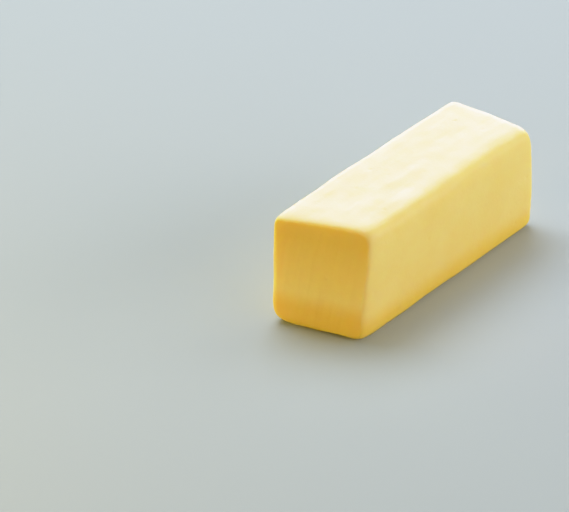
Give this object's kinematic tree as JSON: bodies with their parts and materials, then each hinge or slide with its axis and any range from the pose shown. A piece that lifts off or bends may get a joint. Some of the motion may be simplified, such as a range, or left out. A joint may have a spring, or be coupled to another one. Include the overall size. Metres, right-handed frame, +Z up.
{
  "type": "stick of butter",
  "caption": "Long slim stick of butter lying on its base, with softly rounded edges, a slanting knife cut at one end and a domed moulded end at the other.",
  "frame": {"origin": "under the middle of the box that the stick fills, on the surface that it lies on", "axes": "+X along the stick from the cut end to the moulded end, +Y to its left as seen facing the cut, +Z up"},
  "size_m": [0.0946, 0.0298, 0.0348],
  "materials": {
    "butter": "soft satin, slightly greasy, a little translucent"
  },
  "bodies": {
    "root": {"butter_stick": "butter"}
  },
  "joints": []
}
